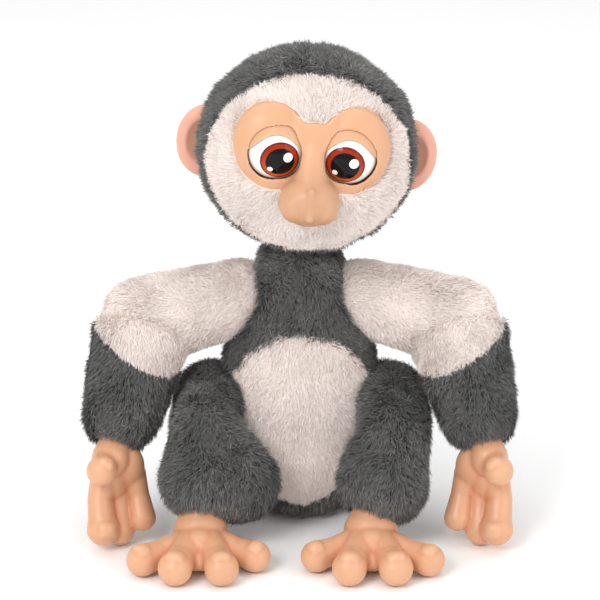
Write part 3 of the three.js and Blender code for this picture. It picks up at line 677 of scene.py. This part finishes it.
def grow(name, skin, keep, nap, material, length, lean, width, seed, density=1.0, tufted=0.42, slot=None):
    chance = np.random.default_rng(seed)
    root, up = scatter(skin, NAP_DENSITY * density, chance)
    kept = keep(root, up)
    root, up = root[kept], up[kept]
    count = len(root)
    flow = nap(root, up)
    swirl = np.stack([ripple(root, 14 * MM, seed + k) for k in range(3)], axis=1)
    flow = unit(flow) + 0.45 * swirl + 0.35 * chance.normal(size=(count, 3))
    flow = unit(flow - up * np.sum(flow * up, axis=1)[:, None])
    tilt = np.radians(lean + 10 * ripple(root, 9 * MM, seed + 9) + chance.normal(size=count) * 11)
    heading = up * np.cos(tilt)[:, None] + flow * np.sin(tilt)[:, None]
    tall = length * MM * chance.uniform(0.65, 1.12, count) * (1 + 0.12 * ripple(root, 7 * MM, seed + 5))
    gather = tuft_middles(root) - root
    gather -= up * np.sum(gather * up, axis=1)[:, None]
    tip = root + heading * tall[:, None] + gather * tufted - up * 0.06 * tall[:, None]
    middle = root + heading * tall[:, None] * 0.5 + gather * tufted / 3 + up * 0.07 * tall[:, None]
    across = unit(np.cross(heading, up))
    twist = chance.normal(size=count)[:, None] * 0.5
    across = across * np.cos(twist) + np.cross(heading, across) * np.sin(twist)
    half = across * (width * MM * chance.uniform(0.7, 1.2, count) / 2)[:, None]
    base = root - up * 0.4 * MM
    spots = np.stack([base - half, base + half, middle - half * 0.85, middle + half * 0.85, tip], axis=1)
    spots[:, :, 2] = np.maximum(spots[:, :, 2], 0.2 * MM)
    shade = 0.5 + 0.17 * ripple(root, 18 * MM, seed + 3) + chance.normal(size=count) * 0.22
    shade = np.clip(shade, 0.02, 0.98)
    order = np.array([0, 1, 3, 2, 2, 3, 4])
    mesh = bpy.data.meshes.new(name)
    mesh.vertices.add(count * 5)
    mesh.vertices.foreach_set("co", spots.astype(np.float32).ravel())
    mesh.loops.add(count * 7)
    mesh.loops.foreach_set("vertex_index", (np.arange(count)[:, None] * 5 + order).astype(np.int32).ravel())
    mesh.polygons.add(count * 2)
    starts = np.arange(count)[:, None] * 7 + np.array([0, 4])
    mesh.polygons.foreach_set("loop_start", starts.astype(np.int32).ravel())
    mesh.update(calc_edges=True)
    mesh.validate()
    mesh.shade_smooth()
    side = np.array([-1, 1, 1, -1, -1, 1, 0]) * 0.006
    height = np.array([0, 0, 0.5, 0.5, 0.5, 0.5, 1.0])
    texture = np.stack([shade[:, None] + side, np.broadcast_to(height, (count, 7))], axis=2)
    mesh.uv_layers.new(name="OFBake").data.foreach_set("uv", texture.astype(np.float32).ravel())
    mesh.materials.append(material)
    fur = bpy.data.objects.new(name, mesh)
    scene.collection.objects.link(fur)
    fur.parent = skin
    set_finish(fur, slot or skin["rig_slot"])
    print(name, count, "strands")
    return fur


# %% Nap directions
def down_nap(root, up):
    return np.tile((0.0, 0.0, -1.0), (len(root), 1)) + up * 0.2


def nap_along(start, end):
    line = np.array(end - start)
    return lambda root, up: np.tile(line / np.linalg.norm(line), (len(root), 1))


def face_nap(root, up):
    """Away from the middle of the face, and a little back."""
    there = in_axes(root, HEAD)
    out = np.column_stack([there[:, 0], there[:, 1] * 0 + 12, there[:, 2] + 4])
    axes = np.array(HEAD.to_3x3())
    return unit(out @ axes.T)


def back_of_head_nap(root, up):
    there = in_axes(root, HEAD)
    out = np.column_stack([there[:, 0] * 0.5, there[:, 1] * 0 + 30, -20 - there[:, 2] * 0.2])
    axes = np.array(HEAD.to_3x3())
    return unit(out @ axes.T)


# %% Grow the grey fur
GREY = {"material": grey_pile, "length": 5.8, "lean": 54, "width": 0.42, "tufted": 0.34}
WHITE = {"material": white_pile, "length": 4.4, "lean": 60, "width": 0.42, "tufted": 0.1}


def clear_of_limbs(root, margin):
    clear = np.ones(len(root), bool)
    for name in LIMBS:
        if name.startswith(("upper_arm", "thigh", "lobe")):
            clear &= limb_depth(root, LIMBS[name]) > margin
    return clear


for half, sign in SIDES.items():
    grow("torso_pile_" + half, skins["torso"], lambda root, up: (root[:, 0] * sign > 0)
         & ~in_belly(root) & ~in_flap(root, 0.5) & (pear_depth(root) > -6)
         & clear_of_limbs(root, -1.5) & (root[:, 2] < 0.138),
         down_nap, seed=11 + sign, **GREY)
    grow("head_pile_" + half, skins["head"],
         lambda root, up: (in_axes(root, HEAD)[:, 0] * sign > 0) & ~in_ruff(root),
         back_of_head_nap, seed=21 + sign, **GREY)
    hip, knee, _, _ = LIMBS["thigh_" + half]
    ankle = pivot("ankle_" + half)
    shin = np.array((ankle - knee).normalized())
    grow("leg_pile_" + half, skins["leg_" + half], lambda root, up: (pear_depth(root) > -7)
         & ~((up @ shin > 0.8) & (np.linalg.norm(np.cross(root - np.array(ankle), shin), axis=1) < 0.011)),
         lambda root, up: down_nap(root, up) + 0.4 * shin, seed=31 + sign, **GREY)
    elbow, wrist, _, _ = LIMBS["forearm_" + half]
    sleeve = np.array((wrist - elbow).normalized())

    def on_sleeve(root, up):
        from_axis = np.linalg.norm(np.cross(root - np.array(wrist), sleeve), axis=1)
        hem = (up @ sleeve > 0.8) & (from_axis < 0.0105)
        return ~hem & (limb_depth(root, (elbow, elbow + Vector((0, 0, MM)), 24, 24)) > -1)

    grow("forearm_pile_" + half, skins["forearm_" + half],
         lambda root, up: on_sleeve(root, up) & beyond_seam(root, half),
         nap_along(elbow, wrist), seed=41 + sign, **GREY)
    grow("forearm_pale_pile_" + half, skins["forearm_" + half],
         lambda root, up: on_sleeve(root, up) & ~beyond_seam(root, half),
         nap_along(elbow, wrist), seed=45 + sign, density=1.6, slot="white_plush", **WHITE)
grow("flap_pile", skins["flap"], lambda root, up: up[:, 1] > 0.2, down_nap, seed=51, **GREY)

# %% Grow the white fur
grow("ruff_pile", skins["ruff"], lambda root, up: (pear_depth(root) > 0)
     & (up @ np.array(HEAD.col[1].to_3d()) < 0.5) & (mask_depth(root) > -0.5),
     face_nap, seed=61, density=1.6, **WHITE)
grow("belly_pile", skins["belly"], lambda root, up: (up[:, 1] < 0.3) & clear_of_limbs(root, -1.5), down_nap,
     seed=71, density=1.6, **WHITE)
for half, sign in SIDES.items():
    shoulder, elbow, _, _ = LIMBS["upper_arm_" + half]
    grow("upper_arm_pile_" + half, skins["upper_arm_" + half], lambda root, up: (pear_depth(root) > -6)
         & (limb_depth(root, LIMBS["forearm_" + half]) > -12) & ~beyond_seam(root, half),
         nap_along(shoulder, elbow), seed=81 + sign, density=1.6, **WHITE)
    grow("upper_arm_grey_pile_" + half, skins["upper_arm_" + half], lambda root, up: beyond_seam(root, half)
         & (limb_depth(root, LIMBS["forearm_" + half]) > -12), nap_along(shoulder, elbow),
         seed=85 + sign, slot="grey_plush", **GREY)

# %% [markdown]
# ## Neck
# A short furry tube joins the head to the body. It turns with the neck, so it is its own piece.
# %% Neck sleeve
bm = bmesh.new()
tapered(bm, NECK @ Vector((0, 0, -0.018)), NECK @ Vector((0, 0, 0.004)), 11.2 * MM, 12 * MM)
neck_skin = melt(piece(bm, "neck_skin", grey_knit), 2 * MM, 2)
neck_skin.data.materials.append(grey_knit)
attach(neck_skin, "neck")
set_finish(neck_skin, "grey_plush")
grow("neck_pile", neck_skin, lambda root, up: np.abs(up @ np.array(turn_axis)) < 0.8, down_nap,
     grey_pile, 5.0, 40, 0.42, seed=91)

# %% [markdown]
# ## Vinyl
# The face, ears, hands and feet are rotation-moulded soft vinyl: satin and slightly see-through. The
# darker, redder colour in the creases is painted shade. One material does for all, with a fine grain.
# %% Vinyl finish
def vinyl_finish(name, light, painted_crease_shade, roughness, darker_near=None):
    soft = {"Subsurface_Weight": 0.12, "Subsurface_Scale": 0.004}
    material, shader, wire = finish(name, roughness, Coat_Weight=0.12, Coat_Roughness=0.25, **soft)
    shader.inputs["Subsurface Radius"].default_value = (1.0, 0.45, 0.25)
    # Painted shade: where the surface is least pointy, in the creases, the colour goes to the darker crease
    # colour.
    crease = wire.node("NewGeometry", {}, output=7)
    open_area = crease.node("MapRange", {"Value": crease, "From Min": 0.44, "From Max": 0.52})
    patches = object_noise(wire, 45)
    colour = (open_area * 0.75 + patches * 0.25).between(tint(*painted_crease_shade), tint(*light))
    # Darker and duller within about 17 mm of the given point, here the nose.
    if darker_near is not None:
        place = wire.node("TexCoord", {}, output=3)
        away = wire.node("VectorMath", {0: place, 1: darker_near}, {"operation": "DISTANCE"}, 1)
        duller = wire.node("HueSaturation", {"Value": 0.84, "Color": colour})
        colour = away.above(0.017, 0.008).between(duller, colour)
    wire.plug(shader.inputs["Base Color"], colour)
    wire.plug(shader.inputs["Roughness"], patches * 0.12 + (roughness - 0.06))
    grain(wire, shader, 1500, 0.00004)
    return material


vinyl = vinyl_finish("vinyl", (220, 174, 138), (200, 108, 68), 0.42)
ear_vinyl = vinyl_finish("ear_vinyl", (228, 172, 150), (206, 124, 98), 0.5)
NOSE = HEAD @ (Vector((0, -52, -16)) * MM)
mask_vinyl = vinyl_finish("mask_vinyl", (219, 171, 134), (198, 132, 94), 0.5, darker_near=NOSE)
print("vinyl ready")

# %% [markdown]
# ## Face mask
# The mask is a thin moulded shell: two round brows around the eye openings and a nose bulb on a
# soft bridge. It is carved from blended spheres, as the limbs are, at a much finer voxel.
# %% Face mask
MASK_VOXEL = 0.7 * MM
EYE_X, EYE_Y, EYE_Z = 17.3, -32, 5.5
BALL = 15.2
head_turn = HEAD.to_3x3().to_4x4()


def at_head(x, y, z):
    return HEAD @ (Vector((x, y, z)) * MM)


def head_shape(x, y, z, radii):
    bm = bmesh.new()
    sphere(bm, at_head(x, y, z), [r * MM for r in radii], head_turn)
    return bm


def disc_forward(bm, x, z, rx, rz):
    """A rod along the face's own forward axis."""
    place = HEAD @ Matrix.Translation(Vector((x, -40, z)) * MM) @ Matrix.Rotation(math.pi / 2, 4, "X")
    shape = Matrix.Diagonal((rx * MM, rz * MM, 1, 1))
    bmesh.ops.create_cone(
        bm, cap_ends=True, segments=64, radius1=1, radius2=1, depth=0.06, matrix=place @ shape
    )


bm = bmesh.new()
for sign in SIDES.values():
    disc_forward(bm, sign * 19.4, 7.5, 18.7, 20.8)
disc_forward(bm, 0, -9, 14, 12)
disc_forward(bm, 0, 8.5, 14, 12.6)
outline = melt(piece(bm, "mask_outline"), MASK_VOXEL, 6)
mask = combine(outline, piece(head_shape(0, 0, 0, (54, 45.8, 48)), "mask_body"), "INTERSECT")
bm = bmesh.new()
bm.from_mesh(mask.data)
sphere(bm, at_head(0, -48, -15.5), [14.8 * MM, 12.5 * MM, 12.3 * MM], head_turn)
tapered(bm, at_head(0, -39.5, 8), at_head(0, -47, -10), 6.5 * MM, 9.5 * MM)
for sign in SIDES.values():
    sphere(bm, at_head(sign * 6.6, -49.5, -17), [8 * MM, 10 * MM, 9 * MM], head_turn)
    sphere(bm, at_head(sign * 19.4, -34, 7.5), [18.7 * MM, 9.4 * MM, 20.8 * MM], head_turn)
tapered(bm, at_head(0, -58.2, -8), at_head(0, -59.2, -21), 1.8 * MM, 2.1 * MM)
bpy.data.objects.remove(mask)
eye_rooms = [
    piece(head_shape(sign * EYE_X, EYE_Y, EYE_Z, (BALL + 1.15,) * 3), "eye_room") for sign in SIDES.values()
]
openings = []
for sign in SIDES.values():
    rim = bmesh.new()
    disc_forward(rim, sign * EYE_X, EYE_Z + 0.3, 11.8, 11.7)
    disc_forward(rim, sign * (EYE_X - 1.9), EYE_Z - 3.0, 9.5, 9.4)
    openings.append(melt(piece(rim, "eye_opening"), MASK_VOXEL, 2))
inner_room = piece(head_shape(0, 4.5, 0, (50, 43, 44.5)), "inner_room")
mask = melt(piece(bm, "face_mask_shell"), MASK_VOXEL, 7, [inner_room, *eye_rooms, *openings])
mask.data.materials.clear()
mask.data.materials.append(mask_vinyl)
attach(mask, "head")
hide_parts("face_mask")
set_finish(mask, "vinyl")
print("mask", len(mask.data.polygons), "faces")


# %% [markdown]
# ## Ears
# A soft dish with a rolled rim. A ball gives the ear and a flatter ball carves the bowl.
# %% Ears
for side, sign in SIDES.items():
    bm = bmesh.new()
    sphere(bm, at_head(sign * 50.6, 2, -2.8), [14.8 * MM, 4.6 * MM, 18.8 * MM], head_turn)
    bowl = piece(head_shape(sign * 52.5, -4.2, -2.4, (9.6, 5.6, 13.6)), "bowl")
    ear = melt(piece(bm, "ear_shell_" + side), 0.7 * MM, 9, [bowl])
    ear.data.materials.clear()
    ear.data.materials.append(ear_vinyl)
    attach(ear, "head")
    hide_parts("ear_" + side)
    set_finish(ear, "vinyl")
print("ears done")

# %% [markdown]
# ## Eyes and lids
# A glossy ball with a domed iris disc on its gaze, a black pupil, two painted highlights,
# and a lid that is a slice of a thin ball. The iris colour follows the disc's own texture map.
# %% Eye finishes
def iris_finish():
    material, shader, wire = finish("iris_lacquer", 0.06, Specular_IOR_Level=0.2)
    place = wire.node("UVMap", {}, {"uv_map": "OFBake"})
    across = wire.node("SeparateXYZ", {0: place}, output=0) - 0.5
    height = wire.node("SeparateXYZ", {0: place}, output=1) - 0.5
    out = wire.sum("SQRT", across * across + height * height, 0.0) * 2.0
    # Painted light: the iris is painted brighter and more orange towards its lower edge, as light let in from
    # above would make it.
    painted_lower_glow = (height * -1.6 + 0.25).between(tint(158, 48, 22), tint(214, 96, 38))
    streaks = wire.node("TexNoise", {"Vector": place, "Scale": 26.0, "Detail": 3.0})
    flecked = (streaks * 0.35).between(painted_lower_glow, tint(120, 34, 20))
    ring = out.above(0.93, 0.05).between(flecked, tint(104, 26, 22))
    shader_in = (1 - out.above(0.735, 0.02)).between(ring, tint(12, 11, 12))
    wire.plug(shader.inputs["Base Color"], shader_in)
    return material


def gloss(name, colour, roughness, coat=1.0):
    material, shader, wire = finish(name, roughness, Coat_Weight=coat, Coat_Roughness=0.03)
    tone = object_noise(wire, 60)
    paler = [min(255, c + 4) for c in colour]
    wire.plug(shader.inputs["Base Color"], tone.between(tint(*colour), tint(*paler)))
    grain(wire, shader, 400, 0.00002)
    return material


iris_lacquer = iris_finish()
eye_white = gloss("eye_white", (240, 237, 232), 0.18)
highlight = gloss("highlight_paint", (250, 250, 250), 0.25, 0.3)


# %% Eye shapes
def cap(bm, place, ball, radius, rings=10, around=48, dome=0.0):
    """A round cap of a ball, looking along the place's own Z, with the flat map on it."""
    steps = [radius * step / rings for step in range(rings + 1)]
    heights = [math.sqrt(ball * ball - r * r) + dome * (1 - (r / radius) ** 2) for r in steps]
    rows = [bm.verts.new((r, 0, height)) for r, height in zip(steps, heights)]
    edges = [bm.edges.new(pair) for pair in zip(rows, rows[1:])]
    about_z = {"cent": (0, 0, 0), "axis": (0, 0, 1), "angle": math.tau}
    bmesh.ops.spin(bm, geom=rows + edges, steps=around, use_merge=True, **about_z)
    bmesh.ops.remove_doubles(bm, verts=bm.verts, dist=1e-7)
    bmesh.ops.recalc_face_normals(bm, faces=bm.faces)
    layer = bm.loops.layers.uv.new("OFBake")
    for face in bm.faces:
        if face.normal.z < 0:
            face.normal_flip()
        for corner in face.loops:
            flat = corner.vert.co / radius / 2
            corner[layer].uv = (flat.x + 0.5, flat.y + 0.5)
    bmesh.ops.transform(bm, matrix=place, verts=bm.verts)


HIGHLIGHTS = {"right": [(3.5, 2.7, 2.4), (-4.5, -3.8, 1.4)], "left": [(4.2, 2.3, 2.4), (-4.4, -3.6, 1.4)]}
for side, sign in SIDES.items():
    eye_at = HEAD @ Matrix.Translation(Vector((sign * EYE_X, EYE_Y, EYE_Z)) * MM)
    gaze = Vector((-sign * math.sin(math.radians(7)), -0.966, -math.sin(math.radians(13)))).normalized()
    upward = gaze.cross(Vector((-1, 0, 0))).normalized()
    if upward.z < 0:
        upward = -upward
    facing = eye_at @ Matrix((upward.cross(gaze), upward, gaze)).transposed().to_4x4()
    bm = bmesh.new()
    sphere(bm, eye_at.translation, (BALL * MM,) * 3, head_turn)
    ball_piece = piece(bm, "eye_ball_" + side, eye_white)
    ball_piece.data.shade_smooth()
    bm = bmesh.new()
    cap(bm, facing, (BALL + 0.1) * MM, 9.5 * MM, dome=0.15 * MM)
    iris = piece(bm, "iris_disc_" + side, iris_lacquer)
    iris.data.shade_smooth()
    for number, (x, z, r) in enumerate(HIGHLIGHTS[side]):
        bm = bmesh.new()
        outward = Vector((x, z, math.sqrt(BALL * BALL - x * x - z * z)))
        tilt = outward.to_track_quat("Z", "Y").to_matrix().to_4x4()
        cap(bm, facing @ tilt, (BALL + 0.36) * MM, r * MM, rings=3, around=32)
        spot = piece(bm, f"highlight_{side}_{number + 1}", highlight)
        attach(spot, "head")
        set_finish(spot, "eye_white")
    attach(ball_piece, "head")
    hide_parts("eyeball_" + side)
    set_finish(ball_piece, "eye_white")
    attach(iris, "head")
    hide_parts("iris_" + side)
    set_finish(iris, "iris")
print("eyes done")


# %% Lids
LID_FROM, LID_TO = 37.5, 135
LID_DROOP = 46  # degrees that the lid's corners hang below its middle
for side, sign in SIDES.items():
    place = HEAD @ Matrix.Translation(Vector((sign * EYE_X, EYE_Y, EYE_Z)) * MM)
    bm = bmesh.new()
    radius = (BALL + 0.5) * MM
    arc = [math.radians(8 + 164 * step / 40) for step in range(41)]
    row = [bm.verts.new((radius * math.cos(a), -radius * math.sin(a), 0)) for a in arc]
    edges = [bm.edges.new(pair) for pair in zip(row, row[1:])]
    bmesh.ops.rotate(bm, verts=row, cent=(0, 0, 0), matrix=Matrix.Rotation(-math.radians(LID_FROM), 3, "X"))
    sweep = -math.radians(LID_TO - LID_FROM)
    bmesh.ops.spin(bm, geom=row + edges, cent=(0, 0, 0), axis=(1, 0, 0), angle=sweep, steps=30)
    bmesh.ops.recalc_face_normals(bm, faces=bm.faces)
    bm.faces.ensure_lookup_table()
    if bm.faces[0].normal.dot(bm.faces[0].calc_center_median()) < 0:
        bmesh.ops.reverse_faces(bm, faces=bm.faces)
    for corner in bm.verts:
        angle = math.degrees(math.atan2(corner.co.z, -corner.co.y))
        share = (LID_TO - angle) / (LID_TO - LID_FROM)
        droop = LID_DROOP * abs(corner.co.x / radius) ** 2.2 * share
        corner.co = Matrix.Rotation(math.radians(droop), 3, "X") @ corner.co
    bmesh.ops.transform(bm, matrix=place, verts=bm.verts)
    lid = piece(bm, "lid_shell_" + side, mask_vinyl)
    thick = lid.modifiers.new("thickness", "SOLIDIFY")
    thick.thickness = 0.5 * MM
    thick.offset = 1
    edge = lid.modifiers.new("edge", "BEVEL")
    edge.width = 0.2 * MM
    edge.segments = 2
    settle(lid)
    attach(lid, "eyelids")
    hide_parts("lid_" + side)
    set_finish(lid, "eyelid")
print("lids done")

# %% [markdown]
# ## Hands and feet
# Fingers and toes are chains of tapered bones with fat round tips. Melting them with the palm gives the
# webs between them. Each nail is a thin rounded plate bent to the fingertip.
# %% Hands
DIGIT_VOXEL = 0.75 * MM
FINGERS = {
    "thumb": [(-2, -4, -5, 6.6), (-4.5, -12, -7, 6.2), (-5.5, -18, -8.5, 7.6)],
    "first": [(-5, -4, -17, 7.4), (-7.5, -10, -27, 6.3), (-6.6, -14, -35, 6.8), (-5.8, -16.5, -40.5, 8.2)],
    "middle": [(1, 1, -21, 7.0), (1.6, -5, -33, 6.0), (2, -10, -44, 7.4)],
    "last": [(8, 1, -18, 7.0), (11, -3, -28, 5.7), (13.2, -8, -38, 6.9)],
}


def chain(bm, bones, spot):
    for start, end in zip(bones, bones[1:]):
        tapered(bm, spot(*start[:3]), spot(*end[:3]), start[3] * MM, end[3] * MM)


NAIL_SINK = 0.4 * MM
NAIL_HALF_THICKNESS = 1.5  # mm


def nail(bm, tip, before, radius, face):
    """A thin nail, bent to the fingertip, that stands a little proud of its outer side."""
    along = (tip - before).normalized()
    out = (face - along * face.dot(along)).normalized()
    turn = Matrix((along.cross(out), along, out)).transposed().to_4x4()
    place = Matrix.Translation(tip + out * (radius - NAIL_SINK) + along * radius * 0.1) @ turn
    made = bmesh.ops.create_uvsphere(bm, u_segments=32, v_segments=16, radius=1)["verts"]
    for corner in made:
        flat = [math.copysign(abs(c) ** 0.6, c) for c in corner.co]
        x, y = flat[0] * radius * 0.56, flat[1] * radius * 0.5
        sunk = radius - math.sqrt(radius * radius - x * x - y * y)
        corner.co = place @ Vector((x, y, flat[2] * NAIL_HALF_THICKNESS * MM - sunk))


def mould(bm, name, body, node, smoothing=5):
    made = melt(piece(bm, name), DIGIT_VOXEL, smoothing)
    made.data.materials.clear()
    made.data.materials.append(vinyl)
    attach(made, body)
    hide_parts(node)
    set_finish(made, "vinyl")
    print(name, len(made.data.polygons), "faces")


for side, sign in SIDES.items():
    elbow, wrist, _, _ = LIMBS["forearm_" + side]
    down = (wrist - elbow).normalized()

    def spot(x, y, z):
        return wrist + Vector((-sign * x, y, z)) * MM

    bm = bmesh.new()
    sphere(bm, spot(3, -1, -13), Vector((11.5, 8.5, 13)) * MM)
    sphere(bm, spot(-2, -4, -19), Vector((8.5, 7.5, 12)) * MM)
    tapered(bm, wrist - down * 8 * MM, wrist + down * 9 * MM, 6.3 * MM, 9.6 * MM)
    for bones in FINGERS.values():
        chain(bm, bones, spot)
    for name in ("thumb", "first"):
        bones = FINGERS[name]
        faces_out = Vector((-sign * 0.5, -1, 0.9))
        nail(bm, spot(*bones[-1][:3]), spot(*bones[-2][:3]), bones[-1][3] * MM, faces_out)
    mould(bm, "hand_shell_" + side, "hand_" + side, "hand_" + side)

# %% Feet
TOES = {
    "outer": [(-9, -12, 10, 7.4), (-19, -19.5, 8.8, 6.8), (-27.5, -25.5, 8.2, 8.0)],
    "second": [(-5, -14, 11, 7.9), (-8.8, -26, 9.2, 7.2), (-11.2, -36, 8.7, 8.5)],
    "third": [(5, -14, 11, 7.9), (8.8, -26, 9.2, 7.2), (11.2, -36, 8.7, 8.5)],
    "inner": [(9, -10, 10, 7.4), (18.5, -16, 8.8, 6.6), (27, -21, 8, 7.8)],
}
for side, sign in SIDES.items():
    ankle = pivot("ankle_" + side)
    knee = KNEE[side]
    down = (ankle - knee).normalized()

    def spot(x, y, z):
        return Vector((ankle.x - sign * x * MM, ankle.y + y * MM, z * MM))

    bm = bmesh.new()
    tapered(bm, spot(0, -1, 13), spot(0, -15, 10.5), 10.5 * MM, 9.5 * MM)
    tapered(bm, ankle - down * 7 * MM, spot(0, -3, 13), 7.8 * MM, 13.5 * MM)
    sphere(bm, spot(0, -14.5, 7), Vector((21, 16, 6.6)) * MM)
    for bones in TOES.values():
        chain(bm, bones, spot)
        nail(bm, spot(*bones[-1][:3]), spot(*bones[-2][:3]), bones[-1][3] * MM, Vector((0, -0.35, 1)))
    mould(bm, "foot_shell_" + side, "foot_" + side, "foot_" + side)

# %% [markdown]
# ## The works inside
# The CAD shapes of the chassis, batteries, neck and eye works are right as they are. They only need
# finishes: moulded plastic with a fine spark texture, wire-drawn steel and lacquered board.
# %% Finishes for the inner parts
WORKS = {
    "pale_plastic": mottled("pale_plastic", (206, 205, 200), (220, 219, 214), 0.5, 60, 1200, 0.00005),
    "dark_plastic": mottled("dark_plastic", (34, 34, 36), (46, 46, 48), 0.45, 60, 1200, 0.00005),
    "board": mottled("board_lacquer", (30, 92, 58), (44, 118, 76), 0.35, 90, 900, 0.00003, Coat_Weight=0.5),
    "steel": mottled("bright_steel", (168, 170, 174), (196, 198, 202), 0.3, 140, 1600, 0.00002, Metallic=1.0),
    "vinyl": vinyl,
    "eyelid": mask_vinyl,
    "eye_white": eye_white,
    "iris": gloss("iris_paint", (150, 52, 26), 0.15),
    "grey_plush": grey_knit,
    "white_plush": white_knit,
}
node_slot = {}
for entry in frame["record"]["subparts"]:
    node_slot[entry["node"]] = entry["material_slot"]
for name, node in frame["nodes"].items():
    made = WORKS[node_slot.get(name, "pale_plastic")]
    node.data.materials.clear()
    node.data.materials.append(made)
print("finishes on", len(frame["nodes"]), "CAD nodes")

# %% [markdown]
# ## Floor
# A wide pale sweep, matt, which isn't part of the toy.
# %% Floor
bm = bmesh.new()
bmesh.ops.create_grid(bm, x_segments=1, y_segments=1, size=6)
floor_paper = mottled("floor_paper", (252, 252, 252), (255, 255, 255), 0.9, 3, 200, 0.00001)
floor = piece(bm, "floor", floor_paper)
